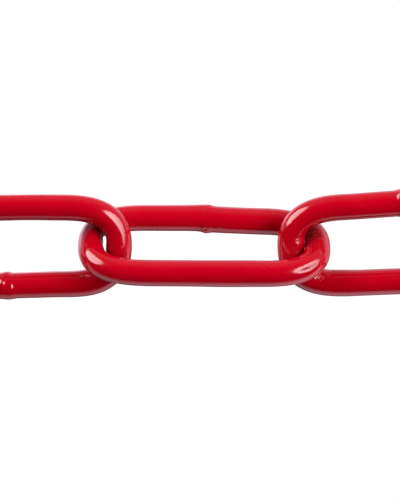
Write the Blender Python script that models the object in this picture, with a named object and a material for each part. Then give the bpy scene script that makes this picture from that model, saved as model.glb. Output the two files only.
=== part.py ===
"""A length of red painted long-link chain, bent and welded from 4 mm round steel wire.

The chain lies on the plane z = 0 along X, with its links leaning alternately to +Y and -Y. Each link is one
closed ring of wire, threaded through the next. Lengths are in metres, and +Z is up.
"""

import math
from dataclasses import dataclass

import bpy
from mathutils import Euler, Vector

# The wire and the ring that every link is bent to.
WIRE_RADIUS = 0.0020
LINK_LENGTH = 0.0400          # over the outside of the two crowns
BOW_LENGTH = 0.0095           # from the end of a straight strand to the crown
BOW_POWER = 2.68              # 2 would be a plain ellipse, and more is squarer
CROWN_X = LINK_LENGTH / 2 - WIRE_RADIUS

# The butt weld in the middle of one strand: a thicker collar, and a slight bend where the wire's ends met.
COLLAR_HALF_LENGTH = 0.0013
COLLAR_HEIGHT = 0.0002
WELD_BEND = 0.0003

# How the links lie: their lean out of the level, and the height of their middles with the welds on z = 0.
LEAN = math.radians(32.25)
REST_HEIGHT = 0.00577

# How far a link's hinge is outside the middle of its parent's crown wire.
HINGE_OFFSET = 0.00135

# How finely the curves are cut.
BOW_STEPS = 20
STRAND_STEPS = 4
COLLAR_STEPS = 8
WIRE_SIDES = 14

PAINT_COLOUR = (0.58, 0.003, 0.018, 1.0)
PAINT_ROUGHNESS = 0.22

CHAIN_NAME = "long_link_chain"


@dataclass
class Link:
    """One link: its place on the plane, its lean and turn, the shape of its ring, and where it is hinged."""

    name: str
    x: float                  # middle of the link
    y: float
    lean_sign: int            # +1 lifts the +Y strand, -1 lifts the -Y strand
    turn_deg: float           # about Z
    left_spacing: float       # between the strands' middles, at the left bow
    right_spacing: float
    weld_strand: int          # +1 for the +Y strand, -1 for the -Y strand
    parent: str = ""
    parent_crown: int = 0     # the crown of the parent that it swings on: -1 left, +1 right


LINKS = [
    Link("centre_link", 0.0, 0.0, -1, -1.1, 0.0130, 0.0123, +1),
    Link("left_link", -0.03158, 0.00013, +1, -0.1, 0.0128, 0.0128, -1, "centre_link", -1),
    Link("right_link", 0.03175, 0.00055, +1, 2.2, 0.0127, 0.0127, +1, "centre_link", +1),
    Link("left_end_link", -0.06328, 0.00020, -1, 0.6, 0.0128, 0.0126, +1, "left_link", -1),
    Link("right_end_link", 0.06340, 0.00140, -1, 0.4, 0.0126, 0.0128, -1, "right_link", +1),
]


def remove_all_objects():
    """Empties the scene."""
    for item in list(bpy.data.objects):
        bpy.data.objects.remove(item, do_unlink=True)


def new_collection(name):
    """A collection of the scene, for the parts."""
    collection = bpy.data.collections.new(name)
    bpy.context.scene.collection.children.link(collection)
    return collection


def red_paint():
    """The glossy red paint that covers the wire."""
    material = bpy.data.materials.new("red_paint")
    material.use_nodes = True
    shader = material.node_tree.nodes["Principled BSDF"]
    shader.inputs["Base Color"].default_value = PAINT_COLOUR
    shader.inputs["Roughness"].default_value = PAINT_ROUGHNESS
    shader.inputs["Metallic"].default_value = 0.0
    return material


def bow_points(spacing, side):
    """The wire's middle round one bow, counter-clockwise. side is -1 for the left bow and +1 for the right."""
    points = []
    for step in range(BOW_STEPS + 1):
        angle = math.pi * (step / BOW_STEPS - 0.5)
        across = abs(math.cos(angle)) / BOW_LENGTH
        along = abs(math.sin(angle)) / (spacing / 2)
        reach = (across ** BOW_POWER + along ** BOW_POWER) ** (-1 / BOW_POWER)
        x = CROWN_X - BOW_LENGTH + reach * math.cos(angle)
        y = reach * math.sin(angle)
        points.append(Vector((side * x, side * y, 0.0)))
    return points


def strand_points(start, end, welded):
    """The points between two bows, with the wire's swelling at each. Only a welded strand swells and bends."""
    if not welded:
        return [(start.lerp(end, step / STRAND_STEPS), 0.0) for step in range(1, STRAND_STEPS)]
    outward = math.copysign(1.0, start.y)
    middle = start.lerp(end, 0.5) + Vector((0.0, outward * WELD_BEND, 0.0))
    collar_share = COLLAR_HALF_LENGTH / (middle - start).length
    points = []
    for step in range(-COLLAR_STEPS // 2, COLLAR_STEPS // 2 + 1):
        place = 2 * step / COLLAR_STEPS
        swelling = COLLAR_HEIGHT * math.cos(place * math.pi / 2) ** 2
        target = start if place < 0 else end
        points.append((middle.lerp(target, abs(place) * collar_share), swelling))
    return points


def ring_points(link):
    """The whole ring in the link's own frame, as pairs of a point and the wire's swelling there."""
    right = bow_points(link.right_spacing, +1)
    left = bow_points(link.left_spacing, -1)
    ring = [(point, 0.0) for point in right]
    ring += strand_points(right[-1], left[0], link.weld_strand > 0)
    ring += [(point, 0.0) for point in left]
    ring += strand_points(left[-1], right[0], link.weld_strand < 0)
    return ring


def link_rotation(link):
    """Leans the ring about its own length, then turns it on the plane."""
    return Euler((link.lean_sign * LEAN, 0.0, math.radians(link.turn_deg)), "XYZ")


def link_middle(link):
    """The middle of the ring."""
    return Vector((link.x, link.y, REST_HEIGHT))


def chain_shift():
    """The shift on the plane that puts the middle of the chain's outline over the origin."""
    places = []
    for link in LINKS:
        turn = link_rotation(link).to_matrix()
        places += [link_middle(link) + turn @ point for point, _ in ring_points(link)]
    middle_x = (min(place.x for place in places) + max(place.x for place in places)) / 2
    middle_y = (min(place.y for place in places) + max(place.y for place in places)) / 2
    return Vector((-middle_x, -middle_y, 0.0))


def hinge_point(parent, crown):
    """Where a link swings on its parent: in the parent's crown wire, a little outside its middle."""
    reach = Vector((crown * (CROWN_X + HINGE_OFFSET), 0.0, 0.0))
    return link_middle(parent) + link_rotation(parent).to_matrix() @ reach


def build_link(link, by_name, shift, material, collection):
    """One ring of wire. The object's origin is on the link's hinge, or in its middle if it has none."""
    middle = link_middle(link)
    origin = hinge_point(by_name[link.parent], link.parent_crown) if link.parent else middle
    rotation = link_rotation(link)
    offset = rotation.to_matrix().inverted() @ (middle - origin)
    ring = ring_points(link)

    curve = bpy.data.curves.new(link.name, "CURVE")
    curve.dimensions = "3D"
    curve.twist_mode = "Z_UP"
    curve.bevel_depth = WIRE_RADIUS
    curve.bevel_resolution = (WIRE_SIDES - 4) // 2
    curve.materials.append(material)
    spline = curve.splines.new("POLY")
    spline.points.add(len(ring) - 1)
    spline.use_cyclic_u = True
    for control, (point, swelling) in zip(spline.points, ring):
        control.co = (*(point + offset), 1.0)
        control.radius = 1.0 + swelling / WIRE_RADIUS

    wire = bpy.data.objects.new(link.name, curve)
    wire.location = origin + shift
    wire.rotation_euler = rotation
    collection.objects.link(wire)
    return wire


def hang_on_parents(wires):
    """Parents each link to the one it swings on, where it stands."""
    bpy.context.view_layer.update()
    for link in LINKS:
        if link.parent:
            wires[link.name].parent = wires[link.parent]
            wires[link.name].matrix_parent_inverse = wires[link.parent].matrix_world.inverted()


def main():
    remove_all_objects()
    collection = new_collection(CHAIN_NAME)
    material = red_paint()
    by_name = {link.name: link for link in LINKS}
    shift = chain_shift()
    wires = {}
    for link in LINKS:
        wires[link.name] = build_link(link, by_name, shift, material, collection)
    hang_on_parents(wires)
    bpy.context.view_layer.update()


main()
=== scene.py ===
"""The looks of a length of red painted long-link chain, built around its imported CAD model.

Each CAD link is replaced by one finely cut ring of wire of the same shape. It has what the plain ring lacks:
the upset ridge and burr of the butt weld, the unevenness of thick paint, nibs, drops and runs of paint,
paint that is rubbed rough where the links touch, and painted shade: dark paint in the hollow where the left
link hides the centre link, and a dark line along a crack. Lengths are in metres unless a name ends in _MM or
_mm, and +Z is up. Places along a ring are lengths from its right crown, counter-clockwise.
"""

import math
from dataclasses import dataclass

import bpy
import numpy as np
from mathutils import Euler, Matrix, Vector


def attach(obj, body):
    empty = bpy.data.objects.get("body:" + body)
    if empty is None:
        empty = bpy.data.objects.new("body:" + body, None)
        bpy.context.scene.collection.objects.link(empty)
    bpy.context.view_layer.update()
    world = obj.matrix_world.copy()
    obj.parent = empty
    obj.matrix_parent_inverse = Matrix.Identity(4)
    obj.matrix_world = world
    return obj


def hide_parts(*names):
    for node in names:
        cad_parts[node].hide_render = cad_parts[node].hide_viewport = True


MM = 0.001

# The wire and the ring that every link is bent to, as in the CAD model.
WIRE_RADIUS = 2.09 * MM          # the paint stands proud of the CAD wire
CAD_WIRE_RADIUS = 2.0 * MM
LINK_LENGTH = 40.0 * MM
BOW_LENGTH = 9.5 * MM
BOW_POWER = 2.68
CROWN_X = LINK_LENGTH / 2 - CAD_WIRE_RADIUS
WELD_BEND = 0.3 * MM
LEAN = math.radians(32.25)
REST_HEIGHT = 5.77 * MM

# How finely a ring is cut.
BOW_STEPS = 160
STRAND_STEPS = 120
SMOOTH_MM = 0.6                  # how far the bend at a weld is rounded, along the wire
STATION_MM = 0.13                # between two cross-sections
SIDES = 96

# The weld's upset ridge: how quickly it falls off on its steep and gentle sides, and how coarse it is.
RIDGE_STEEP_MM = 0.5
RIDGE_GENTLE_MM = 1.7
RIDGE_ROUGHNESS_MM = 0.02
STEP_REACH_MM = 9.0              # how far along the wire a step at the weld fades out

# The shape of the paint: slow swells, a finer ripple, and random nibs. It is thinner where links touch.
SWELL_MM = 0.014
SWELL_CELL_MM = 3.4
RIPPLE_MM = 0.0012
RIPPLE_CELL_MM = 1.1
GRAIN_CELL_MM = 0.5
FINE_GRAIN_CELL_MM = 0.28
FINE_GRAIN_SHARE = 0.7
NIBS_PER_LINK = 34
NIB_SIZES_MM = (0.13, 0.26)
NIB_HEIGHTS = (0.05, 0.16)       # as a share of the nib's size
THIN_AT_CONTACT_MM = 0.05
CONTACT_REACH_MM = 3.0

# The paint's colours, in linear light.
PAINT_RED = (0.330, 0.0, 0.0066, 1.0)
PAINT_DEEP_RED = (0.290, 0.0, 0.0055, 1.0)
# the dark of paint rubbed away, and of the painted shade in the left joint's hollow and along the crack
DARK_WEAR_AND_SHADE = (0.045, 0.0035, 0.0045, 1.0)


@dataclass
class Noise:
    """One noise in the paint: the size of its cells, its detail, and the values that become 0 and 1."""

    cell_mm: float
    detail: float
    low: float
    high: float


CLOUDS = Noise(5.0, 3.0, 0.35, 0.65)     # in the depth of the paint
CLOUD_SHARE = 0.6
SPECKS = Noise(0.45, 2.0, 0.68, 0.78)
SPECK_SHARE = 0.35
DARK_SPOT_NOISE = Noise(0.42, 3.0, 0.44, 0.56)    # where the dark of rubbed paint and of painted shade shows, in spots
SMEARS = Noise(2.2, 4.0, 0.35, 0.7)      # in the gloss
SKIN = Noise(0.9, 3.0, 0.2, 0.8)
GRIT = Noise(0.25, 2.0, 0.3, 0.7)        # in the patches of wear and of painted shade

# The paint's gloss: its roughness from the glossiest smear to the dullest, and what wear and painted shade do
# to it.
SMEARED_ROUGHNESS = (0.09, 0.15)
WEAR_AND_SHADE_ROUGHNESS = 0.28            # added in the patches of wear and of painted shade
SPECULAR = 0.5
WEAR_AND_SHADE_SPECULAR = 0.05

# The paint's bump: its height, and the shares of its skin and of the grit in the patches of wear and painted
# shade.
BUMP_MM = 0.01
SKIN_SHARE = 0.15
GRIT_SHARE = 2.5

# The camera: where it looks, and how high it stands.
CAMERA_AIM = Vector((-0.71, -1.19, 5.54)) * MM
CAMERA_ELEVATION = math.radians(74.75)
CAMERA_DISTANCE = 1.0
FRAME_HEIGHT = 79.63 * MM
SENSOR_MM = 36.0

# The floor is below the lowest place that a link reaches while one joint swings and the others rest.
FLOOR_HEIGHT = -36 * MM
FLOOR_SIZE = 60.0

# The surroundings, as the camera sees them, and the tint of the light that they throw on the chain.
BACKDROP_WHITE = 1.05
PLAIN_WHITE = (1.0, 1.0, 1.0, 1.0)
STUDIO_LIGHT = (1.22, 0.90, 1.06, 1.0)

# How bright the floor is where the paint mirrors it. A painted shadow of the chain darkens a band of it
# along X, which fades out between two distances from y = 0. On the right the painted shadow lifts between one
# x and another, as if every place there were a little further from y = 0.
FLOOR_BELOW = 0.12
FLOOR_BESIDE = 1.03
FLOOR_SHADE_EDGE = (0.022, 0.044)
FLOOR_SHADE_LIFTS = (0.02, 0.06)
FLOOR_SHADE_LIFT = 0.035
FLOOR_FADES = [                  # from one y to another, with the share of the light at each
    (-0.32, -0.09, 0.05, 1.0),
    (0.09, 0.32, 1.0, 0.35),
]
FLOOR_POOLS = [                  # painted pools of light from the softboxes: their x, y, extra brightness and reach
    (-0.052, 0.043, 1.5, 0.06),
    (0.105, -0.080, 0.9, 0.13),
]
FLOOR_POOL_CORE = 0.02           # how far from its middle a pool begins to fade

# How bright the floor is as scattered light, on the left and on the right, and where along X that changes.
FLOOR_SCATTERED_LEFT = 0.50
FLOOR_SCATTERED_RIGHT = 0.95
FLOOR_SCATTERED_CHANGE = (-0.05, 0.08)

# How bright the wall on the +Y side is, mirrored and scattered. It fades in towards +Y, and the mirrored one
# fades out upwards. Both are given as parts of a direction of length 1.
WALL_MIRRORED = 0.42
WALL_MIRRORED_EDGE = (-0.05, 0.35)
WALL_MIRRORED_TOP = (0.30, 0.90)
WALL_SCATTERED = 0.68
WALL_SCATTERED_EDGE = (-0.2, 0.8)

SOFTBOX_DISTANCE = 1.0
SOFTBOX_SOFT_EDGE = 0.10         # as a share of its width


@dataclass
class Softbox:
    """A round lamp that faces the chain: its place, its size, and its radiance at its bottom and top."""

    name: str
    azimuth_deg: float        # 0 is on the -Y side, and 90 on the +X side
    elevation_deg: float
    width: float
    height: float
    bottom: float
    top: float


SOFTBOXES = [
    Softbox("right_softbox", 88.5, 40.0, 1.16, 1.03, 3.3, 13.3),
    Softbox("left_softbox", -118.5, 30.0, 0.96, 0.87, 10.3, 7.6),
]


@dataclass
class Link:
    """One link: its place, lean and turn, its strands' spacing at each bow, and which strand is welded."""

    name: str
    x: float
    y: float
    lean_sign: int
    turn_deg: float
    left_spacing: float
    right_spacing: float
    weld_strand: int


LINKS = [
    Link("centre_link", 0.0, 0.0, -1, -1.1, 13.0 * MM, 12.3 * MM, +1),
    Link("left_link", -31.58 * MM, 0.13 * MM, +1, -0.1, 12.8 * MM, 12.8 * MM, -1),
    Link("right_link", 31.75 * MM, 0.55 * MM, +1, 2.2, 12.7 * MM, 12.7 * MM, +1),
    Link("left_end_link", -63.28 * MM, 0.20 * MM, -1, 0.6, 12.8 * MM, 12.6 * MM, +1),
    Link("right_end_link", 63.40 * MM, 1.40 * MM, -1, 0.4, 12.6 * MM, 12.8 * MM, -1),
]
CHAIN_SHIFT = Vector((-0.06, -0.669, 0.0)) * MM


@dataclass
class Weld:
    """The butt weld of one link: its ridge, and the step where the wire's ends met a little out of line."""

    link: str
    shift_mm: float           # of the ridge, along the ring from the middle of the strand
    outer_mm: float           # the ridge's height on the outside of the ring
    eye_mm: float             # and on the side of the eye
    slant_mm: float           # how much further along the ring the ridge is on the side of the eye
    steep_side: int           # of the ridge: -1 towards the start of the ring, +1 towards its end
    step_mm: float            # how far outwards the wire stands after the ridge, and inwards before it


WELDS = [
    Weld("centre_link", -1.10, 0.07, 0.05, 1.6, -1, 0.09),
    Weld("left_link", 0.85, 0.13, 0.12, -0.4, +1, -0.02),
    Weld("right_link", 0.35, 0.22, 0.14, -0.2, +1, 0.02),
    Weld("left_end_link", 0.2, 0.16, 0.18, 0.4, +1, 0.04),
    Weld("right_end_link", -0.3, 0.14, 0.17, -0.9, -1, -0.05),
]


@dataclass
class Blemish:
    """A smooth lump on the paint of one link, or a dent where its height is negative.

    Its angle goes round the wire: 0 faces out of the ring, 90 the link's own +Z, and 180 the eye.
    """

    link: str
    along_mm: float
    around_deg: float
    long_mm: float            # half its length along the wire
    wide_mm: float            # half its width round the wire
    height_mm: float
    slant_deg: float = 0.0    # turns its length away from the wire's


BLEMISHES = [
    # the burr of the centre link's weld, with a ring-shaped knob and a few drops beside it
    Blemish("centre_link", 22.2, 45, 2.00, 1.20, 0.05),
    Blemish("centre_link", 19.0, 222, 2.60, 1.00, 0.035),
    Blemish("centre_link", 20.9, 45, 0.50, 1.00, 0.05),
    Blemish("centre_link", 21.3, 216, 0.75, 0.65, 0.22),
    Blemish("centre_link", 21.5, 188, 0.50, 0.50, 0.08),
    Blemish("centre_link", 21.4, 188, 0.26, 0.26, -0.16),
    Blemish("centre_link", 20.6, 178, 0.17, 0.42, 0.10),
    Blemish("centre_link", 19.0, 170, 0.55, 0.25, 0.04),
    Blemish("centre_link", 22.1, 128, 0.30, 1.60, -0.05),
    Blemish("centre_link", 22.0, 66, 0.16, 0.16, 0.015),
    Blemish("centre_link", 20.8, 66, 0.18, 0.18, 0.018),
    # the knob and ridge of the left link's weld
    Blemish("left_link", 65.3, 190, 0.65, 0.80, 0.13),
    Blemish("left_link", 64.5, 122, 0.55, 0.75, 0.26),
    Blemish("left_link", 64.3, 122, 0.22, 0.35, -0.14),
    Blemish("left_link", 66.1, 95, 0.22, 0.45, 0.09, -12.0),
    Blemish("left_link", 66.0, 150, 0.50, 0.35, 0.07),
    Blemish("left_link", 66.6, 128, 0.18, 0.18, 0.03),
    # the knob of the right link's weld, with a spatter of drops beside it
    Blemish("right_link", 22.0, 28, 0.32, 0.55, 0.20),
    Blemish("right_link", 22.9, 62, 0.20, 0.20, 0.05),
    Blemish("right_link", 22.6, 70, 0.18, 0.22, 0.06),
    Blemish("right_link", 22.2, 84, 0.16, 0.16, 0.06),
    Blemish("right_link", 23.1, 92, 0.15, 0.30, 0.04, 20.0),
    Blemish("right_link", 22.6, 100, 0.14, 0.20, 0.04),
    # a cracked fold in the thick paint of the centre link's right bow
    Blemish("centre_link", 81.2, 41, 0.80, 0.20, -0.12, 3.0),
    Blemish("centre_link", 80.5, 43, 0.35, 0.18, -0.09, -16.0),
    # slow unevenness of the bent wire
    Blemish("centre_link", 12.0, 45, 5.00, 1.30, 0.09),
    Blemish("centre_link", 69.5, 312, 5.00, 1.40, 0.08),
    Blemish("centre_link", 85.0, 0, 2.60, 1.30, 0.06),
    Blemish("centre_link", 47.0, 335, 3.00, 1.30, 0.09),
    Blemish("centre_link", 40.3, 20, 1.50, 1.20, -0.09),
    Blemish("centre_link", 42.4, 163, 1.60, 1.10, -0.30),
    Blemish("centre_link", 40.8, 187, 1.20, 1.10, -0.22),
    Blemish("centre_link", 39.1, 200, 1.50, 1.50, -0.75),
    Blemish("left_link", 1.9, 166, 1.30, 0.80, -0.18),
    Blemish("left_link", 13.0, 163, 3.00, 1.40, 0.05),
    Blemish("left_link", 23.0, 163, 3.00, 1.40, 0.10),
    Blemish("left_link", 22.0, 343, 4.00, 1.30, -0.06),
    Blemish("left_link", 79.5, 17, 3.30, 1.30, 0.12),
    Blemish("left_link", 0.3, 80, 1.20, 0.90, 0.10),
    Blemish("right_link", 55.0, 197, 2.20, 1.20, 0.11),
    # single nibs
    Blemish("centre_link", 10.8, 124, 0.16, 0.16, 0.05),
    Blemish("centre_link", 45.3, 64, 0.20, 0.20, 0.05),
    Blemish("centre_link", 74.8, 60, 0.22, 0.22, 0.06),
    Blemish("centre_link", 75.9, 66, 0.22, 0.22, 0.06),
    Blemish("centre_link", 76.8, 49, 0.22, 0.22, 0.04),
    Blemish("centre_link", 77.6, 72, 0.18, 0.18, 0.05),
    Blemish("left_link", 10.8, 64, 0.18, 0.18, 0.05),
    Blemish("left_link", 77.8, 139, 0.24, 0.20, 0.06),
    Blemish("left_link", 77.1, 146, 0.18, 0.18, 0.04),
    Blemish("right_link", 31.4, 66, 0.26, 0.20, 0.06),
    Blemish("right_link", 29.5, 79, 0.16, 0.16, 0.04),
    # a run of thick paint where the right link meets the centre link
    Blemish("right_link", 42.4, 163, 1.50, 0.80, 0.27),
    Blemish("right_link", 42.3, 122, 0.75, 0.75, 0.24),
    Blemish("right_link", 50.3, 113, 0.16, 0.16, 0.04),
    Blemish("right_link", 51.3, 112, 0.15, 0.20, 0.04, 25.0),
    Blemish("right_link", 51.7, 126, 0.16, 0.16, 0.04),
    Blemish("right_link", 52.6, 143, 0.24, 0.18, 0.05),
    Blemish("right_link", 53.6, 140, 0.20, 0.16, 0.05),
    Blemish("centre_link", 85.3, 155, 0.80, 0.60, 0.11),
    Blemish("right_link", 43.9, 152, 0.60, 0.50, 0.11),
]


@dataclass
class RoughPatch:
    """A grainy place in the paint, darkened where links rubbed and stuck together, and as painted shade in
    hollows.
    """

    link: str
    along_mm: float
    around_deg: float
    long_mm: float
    wide_mm: float
    depth_mm: float
    wear_and_shade: float               # 1 shows the dark of rubbed paint and of painted shade in full, and 0 only a grain


ROUGH_PATCHES = [
    RoughPatch("centre_link", 1.7, 108, 1.9, 1.4, 0.040, 1.0),
    RoughPatch("centre_link", 85.6, 92, 1.9, 1.6, 0.026, 0.30),
    RoughPatch("centre_link", 80.8, 44, 1.6, 0.7, 0.010, 0.0),
    # painted shade: a dark, dull line along the crack, standing for the shade in its groove
    RoughPatch("centre_link", 81.0, 41, 0.80, 0.13, 0.0, 1.4),
    RoughPatch("centre_link", 82.0, 43, 0.55, 0.09, 0.0, 0.8),
    RoughPatch("right_link", 42.3, 114, 1.5, 1.0, 0.035, 0.15),
    RoughPatch("right_link", 50.8, 128, 0.8, 0.6, 0.050, 0.1),
    RoughPatch("right_link", 53.0, 150, 1.8, 0.5, 0.022, 0.0),
    # painted shade: the centre link's eye side darkened where the left link hides it
    RoughPatch("centre_link", 42.3, 174, 2.2, 1.4, 0.022, 1.0),
    RoughPatch("centre_link", 40.4, 190, 1.6, 1.4, 0.022, 1.0),
    RoughPatch("left_link", 0.6, 180, 2.2, 1.3, 0.022, 0.8),
    RoughPatch("left_link", 42.9, 180, 2.3, 1.4, 0.030, 0.7),
    RoughPatch("right_link", 0.4, 180, 2.3, 1.4, 0.030, 0.7),
    RoughPatch("left_end_link", 0.5, 180, 2.3, 1.4, 0.030, 0.7),
    RoughPatch("right_end_link", 43.0, 180, 2.3, 1.4, 0.030, 0.7),
]

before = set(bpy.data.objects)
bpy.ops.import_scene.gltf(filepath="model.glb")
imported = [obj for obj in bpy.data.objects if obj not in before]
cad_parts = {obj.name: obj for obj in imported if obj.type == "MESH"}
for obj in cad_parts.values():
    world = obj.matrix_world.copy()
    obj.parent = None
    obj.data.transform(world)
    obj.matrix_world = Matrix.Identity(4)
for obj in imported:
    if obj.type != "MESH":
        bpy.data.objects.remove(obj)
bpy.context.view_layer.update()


# ---------------------------------------------------------------- the rings


def bow_points(spacing, side):
    """The wire's middle round one bow, counter-clockwise. side is -1 for the left bow, +1 for the right."""
    angle = math.pi * (np.linspace(0.0, 1.0, BOW_STEPS + 1) - 0.5)
    across = np.abs(np.cos(angle)) / BOW_LENGTH
    along = np.abs(np.sin(angle)) / (spacing / 2)
    reach = (across ** BOW_POWER + along ** BOW_POWER) ** (-1 / BOW_POWER)
    x = CROWN_X - BOW_LENGTH + reach * np.cos(angle)
    return np.stack([side * x, side * reach * np.sin(angle)], axis=1)


def strand_points(start, end, welded):
    """The points between two bows. A welded strand bends a little outwards in its middle."""
    share = np.linspace(0.0, 1.0, STRAND_STEPS + 1)[1:-1, None]
    points = start * (1 - share) + end * share
    if welded:
        bend = WELD_BEND * (1 - np.abs(2 * share[:, 0] - 1))
        points[:, 1] += math.copysign(1.0, start[1]) * bend
    return points


def ring_line(link):
    """The closed middle line of the ring from its right crown, in even steps, and the length to each one."""
    right = bow_points(link.right_spacing, +1)
    left = bow_points(link.left_spacing, -1)
    half = BOW_STEPS // 2
    line = np.concatenate([
        right[half:],
        strand_points(right[-1], left[0], link.weld_strand > 0),
        left,
        strand_points(left[-1], right[0], link.weld_strand < 0),
        right[:half + 1],
    ])
    lengths = np.concatenate([[0.0], np.cumsum(np.linalg.norm(np.diff(line, axis=0), axis=1))])
    count = round(lengths[-1] / (STATION_MM * MM))
    even = np.linspace(0.0, lengths[-1], count + 1)[:-1]
    points = np.stack([np.interp(even, lengths, line[:, axis]) for axis in (0, 1)], axis=1)
    return smoothed(points, SMOOTH_MM / STATION_MM), even


def smoothed(points, width):
    """A closed line, averaged along its length."""
    reach = math.ceil(3 * width)
    weights = np.exp(-0.5 * (np.arange(-reach, reach + 1) / width) ** 2)
    weights /= weights.sum()
    result = np.zeros_like(points)
    for step, weight in zip(range(-reach, reach + 1), weights):
        result += weight * np.roll(points, step, axis=0)
    return result


def weld_place(link, lengths, line):
    """The length along the ring at which the middle of the welded strand is, from the right crown."""
    strand = np.where(line[:, 1] * link.weld_strand > 0, np.abs(line[:, 0]), np.inf)
    return lengths[int(np.argmin(strand))]


# ---------------------------------------------------------------- the surface


@dataclass
class Wire:
    """The skin of one ring as a grid: a row for each cross-section, and a column for each angle round it."""

    name: str
    along_mm: np.ndarray      # of each row, from the right crown
    whole_mm: float
    around: np.ndarray        # of each column
    random: np.random.Generator

    def short_way(self, length_mm):
        """A length along the ring, as the short way round with its sign."""
        return (length_mm + self.whole_mm / 2) % self.whole_mm - self.whole_mm / 2

    def beyond(self, place_mm):
        """How far each row is beyond a place on the ring, the short way round."""
        return self.short_way(self.along_mm - place_mm)

    def beside(self, around_deg):
        """How far each column is beside an angle, as a length round the wire, the short way round."""
        turn = (self.around - math.radians(around_deg) + math.pi) % (2 * math.pi) - math.pi
        return turn * WIRE_RADIUS / MM

    def noise(self, cell_mm):
        """Smooth random heights from -1 to 1, with cells of about the given size, closed both ways."""
        rows = round(self.whole_mm / cell_mm)
        columns = max(4, round(2 * math.pi * WIRE_RADIUS / MM / cell_mm))
        heights = self.random.uniform(-1.0, 1.0, (rows, columns))
        return resampled(resampled(heights, len(self.along_mm)).T, len(self.around)).T

    def spot(self, along_mm, around_deg, long_mm, wide_mm, slant_deg=0.0):
        """1 in the middle of a spot, fading to 0 outside it."""
        beyond = self.beyond(along_mm)[:, None]
        beside = self.beside(around_deg)[None, :]
        slant = math.radians(slant_deg)
        lengthwise = (beyond * math.cos(slant) + beside * math.sin(slant)) / long_mm
        crosswise = (beside * math.cos(slant) - beyond * math.sin(slant)) / wide_mm
        return np.exp(-lengthwise ** 2 - crosswise ** 2)


def resampled(values, count):
    """A closed series of rows, cut more finely by a smooth cubic."""
    place = np.arange(count) * len(values) / count
    first = np.floor(place).astype(int)
    share = (place - first)[:, None]
    before, here, after, beyond = (values[(first + step) % len(values)] for step in (-1, 0, 1, 2))
    slope, next_slope = (after - before) / 2, (beyond - here) / 2
    rise = after - here
    return here + share * (slope + share * (3 * rise - 2 * slope - next_slope
                                            + share * (slope + next_slope - 2 * rise)))


def weld_heights(wire, weld, place_mm):
    """The upset ridge round the wire, a little ragged, and the step where its two ends met out of line."""
    eye_share = (1 - np.cos(wire.around)) / 2
    ridge_place = place_mm + weld.shift_mm + weld.slant_mm * eye_share
    beyond = wire.beyond(0.0)[:, None] - wire.short_way(ridge_place)[None, :]
    beyond = wire.short_way(beyond)
    reach = np.where(beyond * weld.steep_side > 0, RIDGE_STEEP_MM, RIDGE_GENTLE_MM)
    ridge = np.exp(-(beyond / reach) ** 2)
    height = weld.outer_mm + (weld.eye_mm - weld.outer_mm) * eye_share
    ragged = RIDGE_ROUGHNESS_MM * wire.noise(GRAIN_CELL_MM)
    step = np.tanh(beyond / RIDGE_STEEP_MM) * np.exp(-(beyond / STEP_REACH_MM) ** 2)
    return ridge * (height + ragged) + weld.step_mm * step * np.cos(wire.around)


def paint_heights(wire):
    """The unevenness of the paint: swells, ripple, nibs, and less of it on the eye side of the two crowns."""
    heights = SWELL_MM * wire.noise(SWELL_CELL_MM) + RIPPLE_MM * wire.noise(RIPPLE_CELL_MM)
    for crown_mm in (0.0, wire.whole_mm / 2):
        heights -= THIN_AT_CONTACT_MM * wire.spot(crown_mm, 180, CONTACT_REACH_MM, CONTACT_REACH_MM)
    for _ in range(NIBS_PER_LINK):
        along_mm = wire.random.uniform(0.0, wire.whole_mm)
        around_deg = wire.random.uniform(0.0, 360.0)
        size_mm = wire.random.uniform(*NIB_SIZES_MM)
        height_mm = size_mm * wire.random.uniform(*NIB_HEIGHTS)
        heights += height_mm * wire.spot(along_mm, around_deg, size_mm, size_mm)
    return heights


def blemish_heights(wire):
    """The lumps and dents that are listed."""
    heights = 0.0
    for one in BLEMISHES:
        if one.link == wire.name:
            spot = wire.spot(one.along_mm, one.around_deg, one.long_mm, one.wide_mm, one.slant_deg)
            heights = heights + one.height_mm * spot
    return heights


def rough_heights(wire):
    """The grain of the rough patches, and how much each place is darkened by wear and by painted shade."""
    grain = wire.noise(GRAIN_CELL_MM) + FINE_GRAIN_SHARE * wire.noise(FINE_GRAIN_CELL_MM)
    heights, wear_and_shade = np.zeros_like(grain), np.zeros_like(grain)
    for patch in ROUGH_PATCHES:
        if patch.link == wire.name:
            spot = wire.spot(patch.along_mm, patch.around_deg, patch.long_mm, patch.wide_mm)
            heights += patch.depth_mm * spot * grain
            wear_and_shade = np.maximum(wear_and_shade, patch.wear_and_shade * spot)
    return heights, wear_and_shade


def grid_faces(rows, columns):
    """The faces of a grid that is closed both ways."""
    index = np.arange(rows * columns).reshape(rows, columns)
    following, beside = np.roll(index, -1, axis=0), np.roll(index, -1, axis=1)
    across = np.roll(following, -1, axis=1)
    return np.stack([index, following, across, beside], axis=2).reshape(-1, 4)


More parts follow.
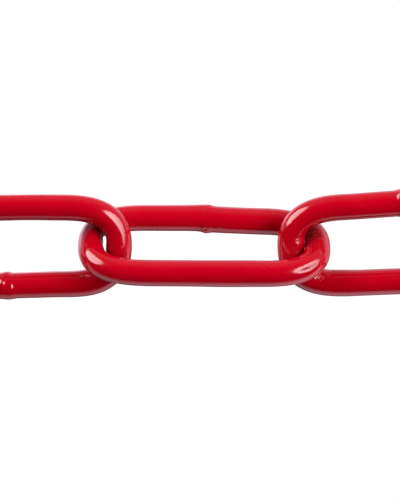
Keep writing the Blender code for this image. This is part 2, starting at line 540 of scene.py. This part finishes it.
def build_link(number, link, weld, material):
    """One link's finely cut ring as a mesh, in place, standing for its CAD node."""
    line, lengths = ring_line(link)
    tangent = np.roll(line, -1, axis=0) - np.roll(line, 1, axis=0)
    tangent /= np.linalg.norm(tangent, axis=1)[:, None]
    outward = np.stack([tangent[:, 1], -tangent[:, 0]], axis=1)

    whole_mm = lengths[-1] / MM * len(lengths) / (len(lengths) - 1)
    around = np.linspace(0.0, 2 * math.pi, SIDES, endpoint=False)
    wire = Wire(link.name, lengths / MM, whole_mm, around, np.random.default_rng(number))
    weld_mm = weld_place(link, lengths, line) / MM
    grain_heights, wear_and_shade = rough_heights(wire)
    heights = weld_heights(wire, weld, weld_mm) + paint_heights(wire) + blemish_heights(wire) + grain_heights
    radius = WIRE_RADIUS + heights * MM

    x = line[:, 0, None] + radius * np.cos(around) * outward[:, 0, None]
    y = line[:, 1, None] + radius * np.cos(around) * outward[:, 1, None]
    z = radius * np.sin(around)
    local = np.stack([x, y, z], axis=2).reshape(-1, 3)
    turn = np.array(Euler((link.lean_sign * LEAN, 0.0, math.radians(link.turn_deg)), "XYZ").to_matrix())
    middle = np.array([link.x, link.y, REST_HEIGHT]) + np.array(CHAIN_SHIFT)
    verts = local @ turn.T + middle

    mesh = bpy.data.meshes.new(link.name + "_painted")
    mesh.from_pydata(verts.tolist(), [], grid_faces(len(lengths), SIDES).tolist())
    mesh.shade_smooth()
    mesh.attributes.new("wear_and_shade", "FLOAT", "POINT").data.foreach_set("value", wear_and_shade.ravel())
    mesh.materials.append(material)
    piece = bpy.data.objects.new(link.name + "_painted", mesh)
    bpy.context.scene.collection.objects.link(piece)
    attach(piece, link.name)
    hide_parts(link.name)


# ---------------------------------------------------------------- the paint


def noise_texture(tree, coordinates, noise):
    """One noise as a value from 0 to 1."""
    texture = tree.nodes.new("ShaderNodeTexNoise")
    texture.inputs["Scale"].default_value = 1 / (noise.cell_mm * MM)
    texture.inputs["Detail"].default_value = noise.detail
    tree.links.new(coordinates, texture.inputs["Vector"])
    return mapped(tree, texture.outputs["Fac"], noise.low, noise.high, 0.0, 1.0)


def mapped(tree, value, low, high, to_low, to_high):
    """A value, moved from one range to another and held inside it."""
    node = tree.nodes.new("ShaderNodeMapRange")
    tree.links.new(value, node.inputs["Value"])
    for socket, number in (("From Min", low), ("From Max", high), ("To Min", to_low), ("To Max", to_high)):
        node.inputs[socket].default_value = number
    return node.outputs["Result"]


def combined(tree, operation, first, second):
    """Two values through one Math operation. The second may be a plain number."""
    node = tree.nodes.new("ShaderNodeMath")
    node.operation = operation
    tree.links.new(first, node.inputs[0])
    if isinstance(second, (int, float)):
        node.inputs[1].default_value = second
    else:
        tree.links.new(second, node.inputs[1])
    return node.outputs["Value"]


def mixed_colour(tree, share, first, second):
    """Two colours, mixed. Each is a plain colour or another node's output."""
    node = tree.nodes.new("ShaderNodeMix")
    node.data_type = "RGBA"
    colour_inputs = [socket for socket in node.inputs if socket.type == "RGBA"]
    for socket, colour in zip(colour_inputs, (first, second)):
        if isinstance(colour, tuple):
            socket.default_value = colour
        else:
            tree.links.new(colour, socket)
    tree.links.new(share, next(socket for socket in node.inputs if socket.type == "VALUE"))
    return next(socket for socket in node.outputs if socket.type == "RGBA")


def red_paint():
    """Thick glossy red paint: cloudy in its depth, with a fine skin, dark in spots and dull where rubbed and
    as painted shade.
    """
    material = bpy.data.materials.new("glossy_red_paint")
    material.use_nodes = True
    tree = material.node_tree
    shader = tree.nodes["Principled BSDF"]
    place = tree.nodes.new("ShaderNodeTexCoord").outputs["Object"]
    wear_and_shade_node = tree.nodes.new("ShaderNodeAttribute")
    wear_and_shade_node.attribute_name = "wear_and_shade"
    wear_and_shade = wear_and_shade_node.outputs["Fac"]

    cloud = combined(tree, "MULTIPLY", noise_texture(tree, place, CLOUDS), CLOUD_SHARE)
    speck = combined(tree, "MULTIPLY", noise_texture(tree, place, SPECKS), SPECK_SHARE)
    dark_spots = combined(tree, "MULTIPLY", noise_texture(tree, place, DARK_SPOT_NOISE), wear_and_shade)
    paint = mixed_colour(tree, cloud, PAINT_RED, PAINT_DEEP_RED)
    paint = mixed_colour(tree, speck, paint, PAINT_DEEP_RED)
    tree.links.new(mixed_colour(tree, dark_spots, paint, DARK_WEAR_AND_SHADE), shader.inputs["Base Color"])

    gloss = mapped(tree, noise_texture(tree, place, SMEARS), 0.0, 1.0, *SMEARED_ROUGHNESS)
    roughness = combined(tree, "ADD", gloss, combined(tree, "MULTIPLY", wear_and_shade, WEAR_AND_SHADE_ROUGHNESS))
    tree.links.new(roughness, shader.inputs["Roughness"])
    specular = mapped(tree, wear_and_shade, 0.0, 1.0, SPECULAR, WEAR_AND_SHADE_SPECULAR)
    tree.links.new(specular, shader.inputs["Specular IOR Level"])

    fine = combined(tree, "MULTIPLY", noise_texture(tree, place, SKIN), SKIN_SHARE)
    wear_and_shade_grit = combined(tree, "MULTIPLY", noise_texture(tree, place, GRIT), wear_and_shade)
    coarse = combined(tree, "MULTIPLY", wear_and_shade_grit, GRIT_SHARE)
    bump = tree.nodes.new("ShaderNodeBump")
    bump.inputs["Distance"].default_value = BUMP_MM * MM
    tree.links.new(combined(tree, "ADD", fine, coarse), bump.inputs["Height"])
    tree.links.new(bump.outputs["Normal"], shader.inputs["Normal"])
    return material


# ---------------------------------------------------------------- the stage


def point_at(item, target):
    """Turns a camera or a lamp to look at a place."""
    item.rotation_euler = (Vector(target) - item.location).to_track_quat("-Z", "Y").to_euler()


def make_camera():
    """The camera, above the chain and a little to the -Y side."""
    camera = bpy.data.objects.new("camera", bpy.data.cameras.new("camera"))
    camera.data.sensor_width = SENSOR_MM
    camera.data.lens = SENSOR_MM * CAMERA_DISTANCE / FRAME_HEIGHT
    back = Vector((0.0, -math.cos(CAMERA_ELEVATION), math.sin(CAMERA_ELEVATION)))
    camera.location = CAMERA_AIM + back * CAMERA_DISTANCE
    point_at(camera, CAMERA_AIM)
    bpy.context.scene.collection.objects.link(camera)
    bpy.context.scene.camera = camera


def make_softbox(softbox):
    """One softbox, with a soft edge. Its energy makes the strength of its emission a radiance."""
    lamp = bpy.data.lights.new(softbox.name, "AREA")
    lamp.shape = "ELLIPSE"
    lamp.size = softbox.width
    lamp.size_y = softbox.height
    lamp.energy = math.pi * (math.pi / 4 * softbox.width * softbox.height)
    lamp.use_nodes = True
    tree = lamp.node_tree
    place = tree.nodes.new("ShaderNodeSeparateXYZ")
    tree.links.new(tree.nodes.new("ShaderNodeNewGeometry").outputs["Parametric"], place.inputs["Vector"])
    across, up = place.outputs["X"], place.outputs["Y"]
    radiance = mapped(tree, up, 0.0, 1.0, softbox.bottom, softbox.top)
    off_middle = distance_from(tree, across, up, 0.5, 0.5)
    inner = mapped(tree, off_middle, 0.5 - SOFTBOX_SOFT_EDGE, 0.5, 1.0, 0.0)
    tree.links.new(combined(tree, "MULTIPLY", radiance, inner), tree.nodes["Emission"].inputs["Strength"])

    box = bpy.data.objects.new(softbox.name, lamp)
    azimuth, elevation = math.radians(softbox.azimuth_deg), math.radians(softbox.elevation_deg)
    towards = Vector((math.sin(azimuth), -math.cos(azimuth), 0.0)) * math.cos(elevation)
    towards.z = math.sin(elevation)
    box.location = towards * SOFTBOX_DISTANCE
    point_at(box, (0.0, 0.0, 0.0))
    box.visible_camera = False
    bpy.context.scene.collection.objects.link(box)


def light_up(tree, shader, lighting):
    """Makes an emission or background plain white to the camera, and as bright as given to all other rays."""
    is_seen = tree.nodes.new("ShaderNodeLightPath").outputs["Is Camera Ray"]
    strength = tree.nodes.new("ShaderNodeMix")
    strength.inputs["B"].default_value = BACKDROP_WHITE
    tree.links.new(lighting, strength.inputs["A"])
    tree.links.new(is_seen, strength.inputs["Factor"])
    tree.links.new(strength.outputs["Result"], shader.inputs["Strength"])
    tree.links.new(mixed_colour(tree, is_seen, STUDIO_LIGHT, PLAIN_WHITE), shader.inputs["Color"])


def by_ray(tree, mirrored, scattered):
    """One value for mirror-like reflections, and another for light that falls on the paint's colour."""
    path = tree.nodes.new("ShaderNodeLightPath")
    node = tree.nodes.new("ShaderNodeMix")
    tree.links.new(mirrored, node.inputs["A"])
    tree.links.new(scattered, node.inputs["B"])
    tree.links.new(path.outputs["Is Diffuse Ray"], node.inputs["Factor"])
    return node.outputs["Result"]


def distance_from(tree, x, y, middle_x, middle_y):
    """How far a place is from a middle, on a plane."""
    squares = []
    for value, middle in ((x, middle_x), (y, middle_y)):
        apart = combined(tree, "SUBTRACT", value, middle)
        squares.append(combined(tree, "MULTIPLY", apart, apart))
    return combined(tree, "POWER", combined(tree, "ADD", *squares), 0.5)


def floor_brightness(tree, x, y):
    """How bright the floor is in the paint's reflections: a painted shadow along the chain, and painted pools
    of light.
    """
    lift = mapped(tree, x, *FLOOR_SHADE_LIFTS, 0.0, FLOOR_SHADE_LIFT)
    aside = combined(tree, "MAXIMUM", combined(tree, "ABSOLUTE", y, 0.0), lift)
    floor = mapped(tree, aside, *FLOOR_SHADE_EDGE, FLOOR_BELOW, FLOOR_BESIDE)
    for fade in FLOOR_FADES:
        floor = combined(tree, "MULTIPLY", floor, mapped(tree, y, *fade))
    for middle_x, middle_y, gain, reach in FLOOR_POOLS:
        off_middle = distance_from(tree, x, y, middle_x, middle_y)
        pool = mapped(tree, off_middle, FLOOR_POOL_CORE, reach, gain, 0.0)
        floor = combined(tree, "ADD", floor, pool)
    return floor


def make_floor():
    """A floor that gives light like a light table: plain white to the camera, with painted shade and light in
    reflections.
    """
    half = FLOOR_SIZE / 2
    corners = [(x, y, FLOOR_HEIGHT) for x, y in ((-half, -half), (half, -half), (half, half), (-half, half))]
    mesh = bpy.data.meshes.new("floor")
    mesh.from_pydata(corners, [], [(0, 1, 2, 3)])
    plane = bpy.data.objects.new("floor", mesh)
    bpy.context.scene.collection.objects.link(plane)
    material = bpy.data.materials.new("white_floor")
    material.use_nodes = True
    material.cycles.emission_sampling = "NONE"
    tree = material.node_tree
    tree.nodes.remove(tree.nodes["Principled BSDF"])
    glow = tree.nodes.new("ShaderNodeEmission")
    place = tree.nodes.new("ShaderNodeSeparateXYZ")
    tree.links.new(tree.nodes.new("ShaderNodeTexCoord").outputs["Object"], place.inputs["Vector"])
    x, y = place.outputs["X"], place.outputs["Y"]
    scattered = mapped(tree, x, *FLOOR_SCATTERED_CHANGE, FLOOR_SCATTERED_LEFT, FLOOR_SCATTERED_RIGHT)
    light_up(tree, glow, by_ray(tree, floor_brightness(tree, x, y), scattered))
    tree.links.new(glow.outputs["Emission"], tree.nodes["Material Output"].inputs["Surface"])
    mesh.materials.append(material)


def make_world():
    """A white backdrop to the camera. To the chain it is a dark studio with a pale wall on its +Y side."""
    world = bpy.data.worlds.new("studio")
    bpy.context.scene.world = world
    world.use_nodes = True
    world.cycles.sampling_method = "NONE"
    tree = world.node_tree
    direction = tree.nodes.new("ShaderNodeSeparateXYZ")
    tree.links.new(tree.nodes.new("ShaderNodeTexCoord").outputs["Generated"], direction.inputs["Vector"])
    low_on_wall = mapped(tree, direction.outputs["Z"], *WALL_MIRRORED_TOP, WALL_MIRRORED, 0.0)
    wall = mapped(tree, direction.outputs["Y"], *WALL_MIRRORED_EDGE, 0.0, 1.0)
    mirrored = combined(tree, "MULTIPLY", wall, low_on_wall)
    scattered = mapped(tree, direction.outputs["Y"], *WALL_SCATTERED_EDGE, 0.0, WALL_SCATTERED)
    light_up(tree, tree.nodes["Background"], by_ray(tree, mirrored, scattered))


bpy.context.scene.view_settings.view_transform = "Standard"
make_camera()
for each_softbox in SOFTBOXES:
    make_softbox(each_softbox)
make_floor()
make_world()
paint = red_paint()
for number, (each_link, each_weld) in enumerate(zip(LINKS, WELDS)):
    build_link(number, each_link, each_weld, paint)
